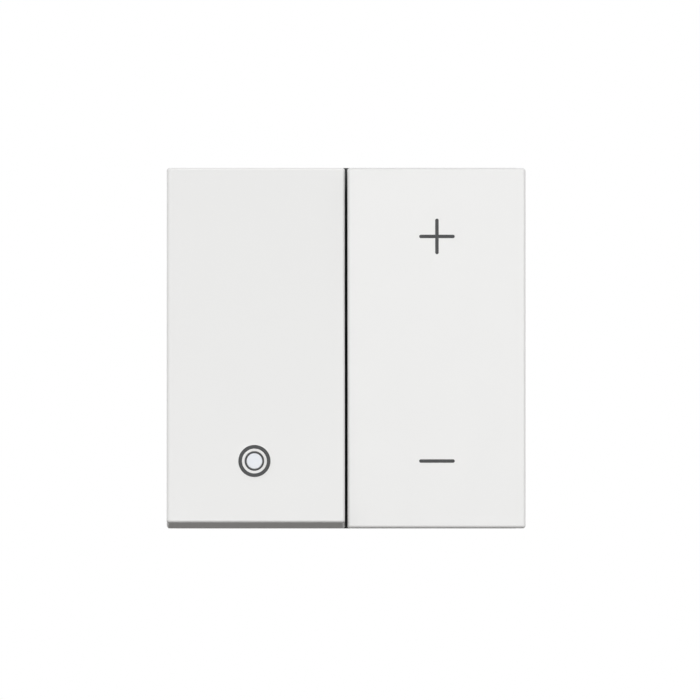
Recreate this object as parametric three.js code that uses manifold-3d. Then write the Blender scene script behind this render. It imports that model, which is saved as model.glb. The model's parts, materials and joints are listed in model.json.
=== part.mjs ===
// Two-key push-button dimmer mechanism, a 45 x 45 mm modular wiring device.
// The left key switches on and off and carries a locator lamp; the right key rocks for brighter and darker.
// Behind the keys are two rockers, a front housing with the snap hooks, a control board with three tactile
// switches, a power board, and a rear housing with three rising-cage screw terminals.
//
// Units are millimetres. The device is drawn in its own frame: x to the right, y up the wall, z out of the
// wall, with z = 0 on the front of the support frame that it snaps into. The exported group turns it upright:
// its front then looks along -Y, and +Z is up.
import * as THREE from "three";
import { mergeVertices } from "three/addons/utils/BufferGeometryUtils.js";
import Module from "manifold-3d";

const wasm = await Module();
wasm.setup();

// ---------------------------------------------------------------- driving dimensions
const MODULE_HEIGHT = 45; // height of the pair of keys
const KEY_WIDTH = 22.26; // at the back edge of its skirt
const KEY_GAP = 0.26; // groove between the keys, at their back edges
const KEY_DEPTH = 8; // face to back edge of a key's skirt
const SIDE_DRAFT = 0.3; // degrees; a key's sides widen towards the wall
const END_DRAFT = 0.8; // degrees; the same for its upper and lower end
const KEY_CHAMFER = 0.3; // edge break round the face
const KEY_CORNER = 0.35; // radius of a key's upright corners
const FACE_WALL = 1.5;
const SKIRT_WALL = 1.25;
const PIVOT_Z = 7; // height of both rocker axes over the support frame
const FACE_OVER_PIVOT = 4.6;
const REST_TILT = 5; // degrees that the on/off key stands open at its lower end
const KEY_PITCH = (KEY_WIDTH + KEY_GAP) / 2; // key centre to device centre
const LEVER = 8; // pivot to tactile switch
const LENS_RADIUS = 0.98; // radius of the locator lens
const LENS_GAP = 0.24; // between the lens and the edge of its window
const LENS_X = -0.16; // lens, light guide and lamp, from the middle of the on/off key

const FLANGE = { width: 44.8, height: 45.06, corner: 1.2, thick: 1.2 }; // dark, it closes the groove's two ends
const BODY = { width: 42, height: 38, corner: 3, wall: 1.4, back: -30, split: -7.3 };
const BOARD_FRONT = -3; // front of the control board
const POWER_FRONT = -9.6; // front of the power board
const TERMINALS = [-12.4, 0, 12.4]; // x of the three terminals
const SCREW_Y = -12; // y of the terminal screws
const BUSBAR_Z = [-21.6, -20.6];
const FIT = 0.3; // gap between pieces that touch
const SEAT = 0.05; // gap under a soldered component

// ---------------------------------------------------------------- solids from three.js geometry
const radians = THREE.MathUtils.degToRad;

function solid(geometry) {
  const bare = new THREE.BufferGeometry();
  bare.setAttribute("position", geometry.attributes.position);
  bare.setIndex(geometry.index);
  const merged = mergeVertices(bare, 1e-4);
  return new wasm.Manifold(
    new wasm.Mesh({
      numProp: 3,
      vertProperties: new Float32Array(merged.attributes.position.array),
      triVerts: new Uint32Array(merged.index.array),
    }),
  );
}

const join = (...solids) => solids.reduce((whole, next) => whole.add(next));
const ordered = (a, b) => [Math.min(a, b), Math.max(a, b)];
const cut = (whole, ...tools) => tools.reduce((rest, tool) => rest.subtract(tool), whole);

// A box between limits on each axis.
function block([x0, x1], [y0, y1], [z0, z1]) {
  const box = new THREE.BoxGeometry(x1 - x0, y1 - y0, z1 - z0);
  return solid(box.translate((x0 + x1) / 2, (y0 + y1) / 2, (z0 + z1) / 2));
}

// A box given by its centre and size across x and y, and its limits in z.
const centred = ([x, y], [width, height], depth) =>
  block([x - width / 2, x + width / 2], [y - height / 2, y + height / 2], depth);

// A round bar along one axis, around a point given by the other two coordinates in x, y, z order.
function bar(axis, radius, [from, to], [a, b], sides = 24, endRadius = radius) {
  const round = new THREE.CylinderGeometry(endRadius, radius, to - from, sides);
  const middle = (from + to) / 2;
  if (axis === "x") round.rotateZ(-Math.PI / 2).translate(middle, a, b);
  if (axis === "y") round.translate(a, middle, b);
  if (axis === "z") round.rotateX(Math.PI / 2).translate(a, b, middle);
  return solid(round);
}

function roundedRectangle(width, height, radius) {
  const x = width / 2 - radius;
  const y = height / 2 - radius;
  const shape = new THREE.Shape();
  shape.absarc(x, y, radius, 0, Math.PI / 2);
  shape.absarc(-x, y, radius, Math.PI / 2, Math.PI);
  shape.absarc(-x, -y, radius, Math.PI, (3 * Math.PI) / 2);
  shape.absarc(x, -y, radius, (3 * Math.PI) / 2, 2 * Math.PI);
  return shape;
}

function plate(width, height, radius, [z0, z1], [x, y] = [0, 0], cornerSteps = 4) {
  const shape = roundedRectangle(width, height, radius);
  const options = { depth: z1 - z0, bevelEnabled: false, curveSegments: cornerSteps };
  return solid(new THREE.ExtrudeGeometry(shape, options).translate(x, y, z0));
}

// A polygon pushed along an axis: "x" takes [y, z] points and "y" takes [x, z] points, in either order round.
function wedge(axis, points, [from, to]) {
  const corners = points.map(([u, v]) => new THREE.Vector2(u, v));
  if (THREE.ShapeUtils.isClockWise(corners)) corners.reverse();
  const shape = new THREE.Shape(corners);
  const pushed = new THREE.ExtrudeGeometry(shape, { depth: to - from, bevelEnabled: false });
  const basis = new THREE.Matrix4();
  const [x, y, z] = [0, 1, 2].map((i) => new THREE.Vector3().setComponent(i, 1));
  if (axis === "x") pushed.applyMatrix4(basis.makeBasis(y, z, x)).translate(from, 0, 0);
  if (axis === "y") pushed.applyMatrix4(basis.makeBasis(x, z, y.clone().negate())).translate(0, to, 0);
  return solid(pushed);
}

// A closed skin through rounded-rectangle rings, each [width, height, corner radius, z], low z first.
function loft(rings, cornerSteps = 4) {
  const perRing = 4 * (cornerSteps + 1);
  const positions = [];
  const index = [];
  for (const [width, height, radius, z] of rings) {
    for (let corner = 0; corner < 4; corner++) {
      const across = corner === 0 || corner === 3 ? 1 : -1;
      const upwards = corner < 2 ? 1 : -1;
      for (let step = 0; step <= cornerSteps; step++) {
        const turn = (corner + step / cornerSteps) * (Math.PI / 2);
        positions.push(
          across * (width / 2 - radius) + radius * Math.cos(turn),
          upwards * (height / 2 - radius) + radius * Math.sin(turn),
          z,
        );
      }
    }
  }
  for (let ring = 0; ring + 1 < rings.length; ring++) {
    for (let i = 0; i < perRing; i++) {
      const a = ring * perRing + i;
      const b = ring * perRing + ((i + 1) % perRing);
      index.push(a, b, b + perRing, a, b + perRing, a + perRing);
    }
  }
  const last = (rings.length - 1) * perRing;
  const hubs = positions.length / 3;
  positions.push(0, 0, rings[0][3], 0, 0, rings[rings.length - 1][3]);
  for (let i = 0; i < perRing; i++) {
    const next = (i + 1) % perRing;
    index.push(hubs, next, i, hubs + 1, last + i, last + next);
  }
  const skin = new THREE.BufferGeometry();
  skin.setAttribute("position", new THREE.Float32BufferAttribute(positions, 3));
  skin.setIndex(index);
  return solid(skin);
}

// A turned solid about the z axis at (x, y), from [radius, z] points that start and end on the axis or close.
function turned(points, [x, y] = [0, 0], sides = 32) {
  const profile = points.map(([radius, z]) => new THREE.Vector2(radius, z));
  const lathe = new THREE.LatheGeometry(profile, sides);
  return solid(lathe.rotateX(Math.PI / 2).translate(x, y, 0));
}

// ---------------------------------------------------------------- materials
const paint = (color, roughness, metalness = 0) =>
  new THREE.MeshStandardMaterial({ color, roughness, metalness });
const WHITE_GLOSS = paint(0xf1f1ee, 0.25);
const NATURAL_PLASTIC = paint(0xe2e0d8, 0.5);
const DARK_PLASTIC = paint(0x2c2e30, 0.6);
const BLACK_PLASTIC = paint(0x17181a, 0.45);
const CLEAR_PLASTIC = new THREE.MeshStandardMaterial({
  color: 0xe9eef3,
  roughness: 0.1,
  transparent: true,
  opacity: 0.6,
});
const BOARD_GREEN = paint(0x1d5a34, 0.45);
const STEEL = paint(0xb9bcc0, 0.35, 1);
const BRASS = paint(0xc9a252, 0.35, 1);
const ALUMINIUM = paint(0xc4c7ca, 0.4, 1);
const COPPER = paint(0xb5642f, 0.35, 1);
const FERRITE = paint(0x4b7a52, 0.5);
const FILM_YELLOW = paint(0xd9c23c, 0.45);
const SLEEVE_BLACK = paint(0x202226, 0.35);
const CERAMIC_BLUE = paint(0x2b5f9c, 0.4);

function piece(name, whole, material, group) {
  const { vertProperties, triVerts } = whole.getMesh();
  const indexed = new THREE.BufferGeometry();
  indexed.setAttribute("position", new THREE.BufferAttribute(vertProperties, 3));
  indexed.setIndex(new THREE.BufferAttribute(triVerts, 1));
  const flat = indexed.toNonIndexed();
  flat.computeVertexNormals();
  const mesh = new THREE.Mesh(flat, material);
  mesh.name = name;
  group.add(mesh);
}

// ---------------------------------------------------------------- keys and rockers, around their own axis
const FACE_IN = FACE_OVER_PIVOT - FACE_WALL; // inner side of a key's face
const SKIRT_END = FACE_OVER_PIVOT - KEY_DEPTH;
const ROCKER = { halfWidth: 7.8, halfHeight: 13.2, top: FACE_IN - FIT, thick: 1.6 };
ROCKER.under = ROCKER.top - ROCKER.thick;
const CLIP_Y = 7;
const FOOT_RADIUS = 1.2;
const PLUNGER_TOP = 2; // height of a switch plunger over the support frame
const FOOT_GAP = 0.1;
const FOOT_CENTRE_Z = PLUNGER_TOP + FOOT_GAP + FOOT_RADIUS - PIVOT_Z;
const SPRING_X = -4.4; // return spring and switch, across the on/off key
const SWITCH_X = 4;
const LENS_Y = -14.5; // in the key's own frame

// A key cap: a drafted shell with four clips that reach round the rocker's plate.
function keyCap(faceHeight) {
  const ring = (z, inset) => {
    const narrower = 2 * Math.tan(radians(SIDE_DRAFT)) * (z - SKIRT_END);
    const taller = 2 * Math.tan(radians(END_DRAFT)) * (FACE_OVER_PIVOT - z);
    return [KEY_WIDTH - narrower - 2 * inset, faceHeight + taller - 2 * inset, KEY_CORNER - inset, z];
  };
  const outside = loft([
    ring(SKIRT_END, 0),
    ring(FACE_OVER_PIVOT - KEY_CHAMFER, 0),
    ring(FACE_OVER_PIVOT, KEY_CHAMFER),
  ]);
  const hollowWidth = KEY_WIDTH - 2 * SKIRT_WALL - 0.2;
  const hollowHeight = faceHeight - 2 * SKIRT_WALL;
  const hollow = plate(hollowWidth, hollowHeight, 0.4, [SKIRT_END - 1, FACE_IN]);
  const clipOut = ROCKER.halfWidth + 1.4;
  const clipIn = ROCKER.halfWidth + 0.4;
  const lipTop = ROCKER.under - FIT;
  const clips = [];
  for (const side of [-1, 1]) {
    for (const y of [-CLIP_Y, CLIP_Y]) {
      const profile = [
        [side * clipIn, FACE_IN + 0.5],
        [side * clipIn, lipTop],
        [side * (ROCKER.halfWidth - 0.6), lipTop],
        [side * clipIn, lipTop - 0.9],
        [side * clipOut, lipTop - 0.9],
        [side * clipOut, FACE_IN + 0.5],
      ];
      clips.push(wedge("y", profile, [y - 2, y + 2]));
    }
  }
  return join(cut(outside, hollow), ...clips);
}

const RIGHT_FACE = MODULE_HEIGHT - 2 * KEY_DEPTH * Math.tan(radians(END_DRAFT));
// The tilted key keeps the same outline as its neighbour, so its face is a little shorter.
const TILT_SHIFT = FACE_OVER_PIVOT * Math.sin(radians(REST_TILT));
const LEFT_FACE = (MODULE_HEIGHT - 2 * TILT_SHIFT) / Math.cos(radians(REST_TILT));

// A rocker: a plate under the key with a hub along its axis, two trunnions and two ribs.
function rockerBlank() {
  const { halfWidth, halfHeight, top, under } = ROCKER;
  const body = block([-halfWidth, halfWidth], [-halfHeight, halfHeight], [under, top]);
  const hub = bar("x", 2, [-halfWidth, halfWidth], [0, 0], 20);
  const trunnions = bar("x", 1.1, [-halfWidth - 1.4, halfWidth + 1.4], [0, 0], 20);
  const ribLength = [-halfHeight + 0.4, halfHeight - 0.4];
  const ribs = [-5.4, 5.4].map((x) => block([x - 0.5, x + 0.5], ribLength, [under - 0.9, under + 0.2]));
  return join(body, hub, trunnions, ...ribs);
}

// A leg from the rocker's plate to a rounded foot over a switch.
function leg(x, footY, footZ) {
  const depth = [footY - FOOT_RADIUS, footY + FOOT_RADIUS];
  const shank = block([x - 1.7, x + 1.7], depth, [footZ, ROCKER.under + 0.2]);
  return join(shank, bar("x", FOOT_RADIUS, [x - 1.7, x + 1.7], [footY, footZ], 20));
}

function makeOnOffKey(device) {
  const group = new THREE.Group();
  group.position.set(-KEY_PITCH, 0, PIVOT_Z);
  group.rotation.x = radians(-REST_TILT);
  device.add(group);

  const lensAt = [LENS_X, LENS_Y];
  const bezel = bar("z", 2.7, [FACE_IN - 0.9, FACE_IN + 0.2], lensAt);
  const bezelBore = bar("z", 2, [FACE_IN - 1, FACE_IN], lensAt);
  const window = bar("z", LENS_RADIUS + LENS_GAP, [FACE_IN - 0.5, FACE_OVER_PIVOT + 1], lensAt, 32);
  piece("on_off_key_cap", cut(join(keyCap(LEFT_FACE), bezel), bezelBore, window), WHITE_GLOSS, group);

  const lens = turned(
    [
      [0, FACE_IN - 1.7],
      [1.2, FACE_IN - 1.7],
      [1.2, FACE_IN - 0.8],
      [1.8, FACE_IN - 0.8],
      [1.8, FACE_IN - 0.1],
      [LENS_RADIUS, FACE_IN - 0.1],
      [LENS_RADIUS, FACE_OVER_PIVOT],
      [0, FACE_OVER_PIVOT],
    ],
    lensAt,
    32,
  );
  piece("on_off_lens", lens, CLEAR_PLASTIC, group);

  // The foot is drawn where the rest tilt puts it over the switch, and the notch clears the light guide.
  const foot = new THREE.Vector2(-LEVER, FOOT_CENTRE_Z).rotateAround(new THREE.Vector2(), radians(REST_TILT));
  const notch = block([-3, 3], [-ROCKER.halfHeight - 1, -11.4], [ROCKER.under - 1, ROCKER.top + 1]);
  const springPost = bar("z", 0.9, [ROCKER.under - 1.8, ROCKER.under + 0.2], [SPRING_X, -LEVER], 16);
  const rocker = join(cut(rockerBlank(), notch), leg(SWITCH_X, foot.x, foot.y), springPost);
  const springRoom = bar("z", 2.4, [ROCKER.under - 2, ROCKER.under], [SPRING_X, -LEVER], 20);
  piece("on_off_rocker", join(cut(rocker, springRoom), springPost), NATURAL_PLASTIC, group);
}

function makeDimmingKey(device) {
  const group = new THREE.Group();
  group.position.set(KEY_PITCH, 0, PIVOT_Z);
  device.add(group);
  piece("dimming_key_cap", keyCap(RIGHT_FACE), WHITE_GLOSS, group);
  const legs = [-LEVER, LEVER].map((y) => leg(0, y, FOOT_CENTRE_Z));
  piece("dimming_rocker", join(rockerBlank(), ...legs), NATURAL_PLASTIC, group);
}

class Helix extends THREE.Curve {
  constructor(radius, bottom, top, turns) {
    super();
    Object.assign(this, { radius, bottom, top, turns });
  }
  getPoint(t, target = new THREE.Vector3()) {
    const turn = 2 * Math.PI * this.turns * t;
    const z = THREE.MathUtils.lerp(this.bottom, this.top, t);
    return target.set(this.radius * Math.cos(turn), this.radius * Math.sin(turn), z);
  }
}

const SPRING = { radius: 1.8, wire: 0.22, bottom: 1.75, top: 8.25, turns: 5.5 };

function makeReturnSpring(device) {
  const { radius, wire, bottom, top, turns } = SPRING;
  const section = new THREE.Shape().absarc(0, 0, wire, 0, 2 * Math.PI);
  const options = {
    steps: Math.round(turns * 14),
    curveSegments: 6,
    bevelEnabled: false,
    extrudePath: new Helix(radius, bottom, top, turns),
  };
  const coil = new THREE.ExtrudeGeometry(section, options);
  coil.translate(-KEY_PITCH + SPRING_X, -LEVER, 0);
  piece("on_off_return_spring", solid(coil), STEEL, device);
}

// ---------------------------------------------------------------- front housing
const GUIDE_AT = [-KEY_PITCH + LENS_X, -14.3]; // light guide and lamp, where the tilted lens comes to stand
const FENCE = { outerX: 9.5, outerY: 20.4, wall: 0.8, top: 5 };
const EAR = { from: 8.1, to: 9.5, halfDepth: 2.6, top: 9.1 };
const STOP = { x: 6.8, y: 12.3, half: 0.6 };
const STAKE = { x: 16.5, y: 13.5, post: 2, pin: 0.8 };

// Bearing ears, stop posts and a dust fence under one key.
function keySeat(centre, lowStop, highStop) {
  const { thick } = FLANGE;
  const { outerX, outerY, wall, top } = FENCE;
  const fence = cut(
    plate(2 * outerX, 2 * outerY, 0.8, [thick - 0.2, top], [centre, 0], 2),
    plate(2 * (outerX - wall), 2 * (outerY - wall), 0.4, [thick - 1, top + 1], [centre, 0], 2),
  );
  const ears = [];
  for (const side of [-1, 1]) {
    const span = ordered(centre + side * EAR.from, centre + side * EAR.to);
    const cheek = block(span, [-EAR.halfDepth, EAR.halfDepth], [thick - 0.2, EAR.top]);
    const reach = [span[0] - 1, span[1] + 1];
    const bore = bar("x", 1.3, reach, [0, PIVOT_Z], 24);
    const mouth = block(reach, [-0.95, 0.95], [PIVOT_Z, EAR.top + 1]);
    ears.push(cut(cheek, bore, mouth));
  }
  const posts = [];
  for (const side of [-1, 1]) {
    const x = centre + side * STOP.x;
    const across = [x - STOP.half, x + STOP.half];
    posts.push(block(across, [-STOP.y - STOP.half, -STOP.y + STOP.half], [thick - 0.2, lowStop]));
    posts.push(block(across, [STOP.y - STOP.half, STOP.y + STOP.half], [thick - 0.2, highStop]));
  }
  return join(fence, ...ears, ...posts);
}

// Where the three tactile switches stand: [name, x, y].
const SWITCHES = [
  ["on_off", -KEY_PITCH + SWITCH_X, -LEVER],
  ["brighter", KEY_PITCH, LEVER],
  ["darker", KEY_PITCH, -LEVER],
];
const HOOK = { x: 10, half: 2.5, face: -2.3, reach: 1.3, end: -6.2 };
const LUG = { y: 9, half: 1.8, z: [-5.2, -3.6], reach: 0.85 };

function snapHooks() {
  const teeth = [];
  const slots = [];
  const side = BODY.height / 2;
  for (const end of [-1, 1]) {
    for (const x of [-HOOK.x, HOOK.x]) {
      const profile = [
        [end * (side - 0.4), HOOK.face],
        [end * (side - 0.4), HOOK.end],
        [end * side, HOOK.end],
        [end * (side + HOOK.reach), HOOK.face - 0.7],
        [end * (side + HOOK.reach), HOOK.face],
      ];
      teeth.push(wedge("x", profile, [x - HOOK.half, x + HOOK.half]));
      for (const edge of [-1, 1]) {
        const slotX = x + edge * (HOOK.half + 0.8);
        const walls = ordered(end * (side - 2), end * (side + 1));
        slots.push(block([slotX - 0.4, slotX + 0.4], walls, [-8, -1.5]));
      }
    }
  }
  return { teeth, slots };
}

function makeFrontHousing(device) {
  const { width, height, corner, wall, split } = BODY;
  const flange = plate(FLANGE.width, FLANGE.height, FLANGE.corner, [0, FLANGE.thick]);
  const skirt = cut(
    plate(width, height, corner, [split + 0.3, 0.2]),
    plate(width - 2 * wall, height - 2 * wall, corner - wall, [split - 1, 0]),
  );
  const { teeth, slots } = snapHooks();
  const lugs = [];
  const posts = [];
  for (const side of [-1, 1]) {
    for (const y of [-LUG.y, LUG.y]) {
      const face = (side * width) / 2;
      const profile = [
        [face - side * 0.3, LUG.z[0]],
        [face, LUG.z[0]],
        [face + side * LUG.reach, LUG.z[1] - 0.5],
        [face + side * LUG.reach, LUG.z[1]],
        [face - side * 0.3, LUG.z[1]],
      ];
      lugs.push(wedge("y", profile, [y - LUG.half, y + LUG.half]));
    }
    for (const end of [-1, 1]) {
      const place = [side * STAKE.x, end * STAKE.y];
      posts.push(bar("z", STAKE.post, [BOARD_FRONT, 0.2], place, 16));
      posts.push(bar("z", STAKE.pin, [BOARD_FRONT - 1.9, BOARD_FRONT + 0.2], place, 12));
    }
  }
  const springAt = [-KEY_PITCH + SPRING_X, -LEVER];
  const springCup = cut(
    bar("z", 2.9, [FLANGE.thick - 0.2, FLANGE.thick + 1], springAt, 24),
    bar("z", 2.3, [FLANGE.thick, FLANGE.thick + 2], springAt, 24),
  );
  const collar = bar("z", 2.4, [FLANGE.thick - 0.2, 4], GUIDE_AT, 24);
  const guideBore = bar("z", 1.5, [-1, 5], GUIDE_AT, 24);
  const windows = SWITCHES.map(([, x, y]) => centred([x, y], [7, 7], [-1, FLANGE.thick + 1]));
  const tilt = Math.sin(radians(REST_TILT));
  const rocking = Math.sin(radians(3));
  const underside = PIVOT_Z + ROCKER.under;
  const reach = STOP.y + STOP.half;
  const leftSeat = keySeat(-KEY_PITCH, underside - FIT, underside - reach * tilt - FIT);
  const rightSeat = keySeat(KEY_PITCH, underside - reach * rocking - FIT, underside - reach * rocking - FIT);
  const whole = join(flange, skirt, ...teeth, ...lugs, ...posts, leftSeat, rightSeat, springCup, collar);
  piece("front_housing", cut(whole, guideBore, ...windows, ...slots), DARK_PLASTIC, device);
}

// ---------------------------------------------------------------- control board and what it carries
const BOARD = { width: 37.2, height: 33, thick: 1.2 };

function makeControlBoard(device) {
  const back = BOARD_FRONT - BOARD.thick;
  const blank = plate(BOARD.width, BOARD.height, 1, [back, BOARD_FRONT - SEAT], [0, 0], 2);
  const holes = [];
  for (const side of [-1, 1]) {
    for (const end of [-1, 1]) {
      holes.push(bar("z", STAKE.pin + 0.3, [back - 1, 0], [side * STAKE.x, end * STAKE.y], 16));
    }
  }
  piece("control_board", cut(blank, ...holes), BOARD_GREEN, device);
}

// A tactile switch with a long stroke: a moulded base, a bent metal cover and a plunger.
const TACT = { half: 3, top: 0.1, cover: 0.3, bore: 1.85, floor: -2.2, plunger: 1.6 };

function makeSwitch(device, name, x, y) {
  const { half, top, cover, bore, floor } = TACT;
  const well = bar("z", bore, [floor, 2], [x, y], 24);
  const inner = half - cover - 0.05;
  const base = block([x - inner, x + inner], [y - half, y + half], [BOARD_FRONT, top]);
  piece(`${name}_switch_base`, cut(base, well), BLACK_PLASTIC, device);

  const lid = block([x - half, x + half], [y - half, y + half], [top + SEAT, top + cover]);
  const flaps = [-1, 1].map((side) => {
    const span = ordered(x + side * half, x + side * (half - cover));
    return block(span, [y - half + 0.6, y + half - 0.6], [BOARD_FRONT + 0.4, top + cover]);
  });
  piece(`${name}_switch_cover`, cut(join(lid, ...flaps), well), STEEL, device);

  const plunger = turned(
    [
      [0, -0.9],
      [1.7, -0.9],
      [1.7, -0.5],
      [TACT.plunger, -0.5],
      [TACT.plunger, PLUNGER_TOP - 0.2],
      [TACT.plunger - 0.2, PLUNGER_TOP],
      [0, PLUNGER_TOP],
    ],
    [x, y],
    24,
  );
  piece(`${name}_switch_plunger`, plunger, BLACK_PLASTIC, device);
}

function makeLamp(device) {
  const led = join(
    centred(GUIDE_AT, [3.2, 2.8], [BOARD_FRONT, BOARD_FRONT + 1.3]),
    bar("z", 1.2, [BOARD_FRONT + 1.2, BOARD_FRONT + 1.7], GUIDE_AT, 24, 1.1),
  );
  piece("locator_led", led, CLEAR_PLASTIC, device);
  const guide = turned(
    [
      [0, -0.9],
      [1.3, -0.9],
      [1.3, 4.2],
      [1.9, 4.2],
      [1.9, 5],
      [1.3, 5],
      [1.1, 7.8],
      [0, 7.8],
    ],
    GUIDE_AT,
    24,
  );
  piece("light_guide", guide, CLEAR_PLASTIC, device);
}

// A small chip with a row of leads on each side.
function chip(x, y, front, [bodyX, bodyY, high], leadsPerSide, pitch) {
  const body = centred([x, y], [bodyX, bodyY], [front + 0.15, front + high]);
  const leads = [];
  for (let i = 0; i < leadsPerSide; i++) {
    const along = y + (i - (leadsPerSide - 1) / 2) * pitch;
    leads.push(centred([x, along], [bodyX + 1.8, 0.4], [front + 0.3, front + 0.5]));
    for (const side of [-1, 1]) {
      const foot = x + side * (bodyX / 2 + 0.8);
      leads.push(centred([foot, along], [0.6, 0.4], [front + SEAT, front + 0.45]));
    }
  }
  return join(body, ...leads);
}

// ---------------------------------------------------------------- power board and what it carries
const POWER = { width: 36.2, height: 32.2, thick: 1.6 };
const POWER_BACK = POWER_FRONT - POWER.thick;
const UNDER = POWER_BACK - SEAT; // components hang from here towards the wall
const LEG_Y = [-8.4, -7.4]; // the busbars' legs

function makePowerBoard(device) {
  const blank = plate(POWER.width, POWER.height, 1, [POWER_BACK, POWER_FRONT], [0, 0], 2);
  const slots = TERMINALS.map((x) => block([x - 1.8, x + 1.8], [LEG_Y[0] - 0.3, LEG_Y[1] + 0.3], [-12, -9]));
  piece("power_board", cut(blank, ...slots), BOARD_GREEN, device);

  const headerBack = POWER_FRONT + SEAT;
  const headerFront = BOARD_FRONT - BOARD.thick - SEAT;
  const shroud = block([-7.6, 7.6], [11.6, 14.2], [headerBack, headerBack + 2.6]);
  const pins = [];
  for (let i = 0; i < 6; i++) {
    const x = (i - 2.5) * 2.54;
    pins.push(block([x - 0.32, x + 0.32], [12.58, 13.22], [headerBack + 2, headerFront]));
  }
  piece("board_header", join(shroud, ...pins), BLACK_PLASTIC, device);
  piece("driver_chip", chip(-9, 4, POWER_FRONT, [4, 5, 1.6], 4, 1.27), BLACK_PLASTIC, device);
}

const CHOKE = { x: -9.6, y: 2.8, outer: 6.6, inner: 3.6, back: -18.4, front: -13, wire: 1.1 };

function makeChoke(device) {
  const { x, y, outer, inner, back, front, wire } = CHOKE;
  const ring = (grow) =>
    turned(
      [
        [inner - grow, back - grow],
        [outer + grow, back - grow],
        [outer + grow, front + grow],
        [inner - grow, front + grow],
        [inner - grow, back - grow],
      ],
      [x, y],
      32,
    );
  piece("choke_core", ring(0), FERRITE, device);
  const gap = block([x - 1.6, x + 1.6], [y, y + 12], [back - 3, front + 3]);
  piece("choke_winding", cut(ring(wire), ring(0.1), gap), COPPER, device);
}

function makeCapacitors(device) {
  const film = loft(
    [
      [6, 13.4, 0.6, UNDER - 12],
      [6.4, 13.8, 0.6, UNDER - 11.6],
      [6.4, 13.8, 0.6, UNDER - 0.3],
    ],
    2,
  );
  const leads = [-5, 5].map((y) => bar("z", 0.4, [UNDER - 0.6, UNDER], [0, y], 10));
  const filmGroup = new THREE.Group();
  filmGroup.position.set(4.4, 2.4, 0);
  device.add(filmGroup);
  piece("filter_capacitor", join(film, ...leads), FILM_YELLOW, filmGroup);

  const can = turned(
    [
      [0, UNDER - 12],
      [3.6, UNDER - 12],
      [3.95, UNDER - 11.6],
      [3.95, UNDER - 1.9],
      [3.65, UNDER - 1.5],
      [3.95, UNDER - 1.1],
      [3.95, UNDER],
      [0, UNDER],
    ],
    [13.4, 5.4],
    28,
  );
  piece("smoothing_capacitor", can, SLEEVE_BLACK, device);
}

function makeProtection(device) {
  const x = 13.4;
  const y = -2.6;
  const disc = bar("y", 4, [y - 1.6, y + 1.6], [x, UNDER - 5.4], 28);
  const legs = [-2.5, 2.5].map((dx) => bar("z", 0.35, [UNDER - 3.2, UNDER], [x + dx, y], 10));
  piece("varistor", join(disc, ...legs), CERAMIC_BLUE, device);
  const fuse = loft(
    [
      [7.2, 7.2, 0.6, UNDER - 3.6],
      [7.4, 7.4, 0.6, UNDER - 3.3],
      [7.4, 7.4, 0.6, UNDER],
    ],
    2,
  );
  const fuseGroup = new THREE.Group();
  fuseGroup.position.set(-6.2, -12.4, 0);
  device.add(fuseGroup);
  piece("micro_fuse", fuse, SLEEVE_BLACK, fuseGroup);
}

// Power transistors, screwed by their tabs to a heat sink plate along the upper wall.
const TAB = { y: [13.9, 15.2], hole: 1.8, holeZ: -24.8, end: -27.4 };

function makePowerStage(device) {
  for (const [side, x] of [
    ["left", -8.6],
    ["right", 8.6],
  ]) {
    const across = [x - 5, x + 5];
    const body = block(across, [10.9, TAB.y[1] - 0.2], [-22, -13]);
    const tab = block(across, TAB.y, [TAB.end, -13.4]);
    const legs = [-2.54, 0, 2.54].map((dx) => centred([x + dx, 12.45], [0.8, 0.5], [-13.2, UNDER]));
    const hole = bar("y", TAB.hole, [10, 17], [x, TAB.holeZ], 20);
    piece(`power_transistor_${side}`, cut(join(body, tab, ...legs), hole), BLACK_PLASTIC, device);

    const head = bar("y", 2.7, [11.9, TAB.y[0] - FIT], [x, TAB.holeZ], 24);
    const shank = bar("y", 1.45, [TAB.y[0] - 1, 16.8], [x, TAB.holeZ], 20);
    const slot = block([x - 3, x + 3], [11.5, 12.7], [TAB.holeZ - 0.4, TAB.holeZ + 0.4]);
    piece(`heat_sink_screw_${side}`, cut(join(head, shank), slot), STEEL, device);
  }
  const sheet = block([-16, 16], [TAB.y[1] + FIT, 17.1], [-27.8, -13.6]);
  const holes = [-8.6, 8.6].map((x) => bar("y", 1.65, [15, 18], [x, TAB.holeZ], 20));
  piece("heat_sink", cut(sheet, ...holes), ALUMINIUM, device);
}

// ---------------------------------------------------------------- terminals
// A screw is held by its head and rests its tip on the busbar. Turned in, it lifts the cage towards the head,
// and the cage's far bar pinches the wire against the busbar.
const SCREW = { head: 2.9, headZ: [-29.1, -27.2], shank: 1.7 };
const CAGE = { halfX: 3.3, y: [-15, -9], plateZ: [-23.5, -21.9], barZ: [-17.1, -15.9], wall: 1 };

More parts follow.
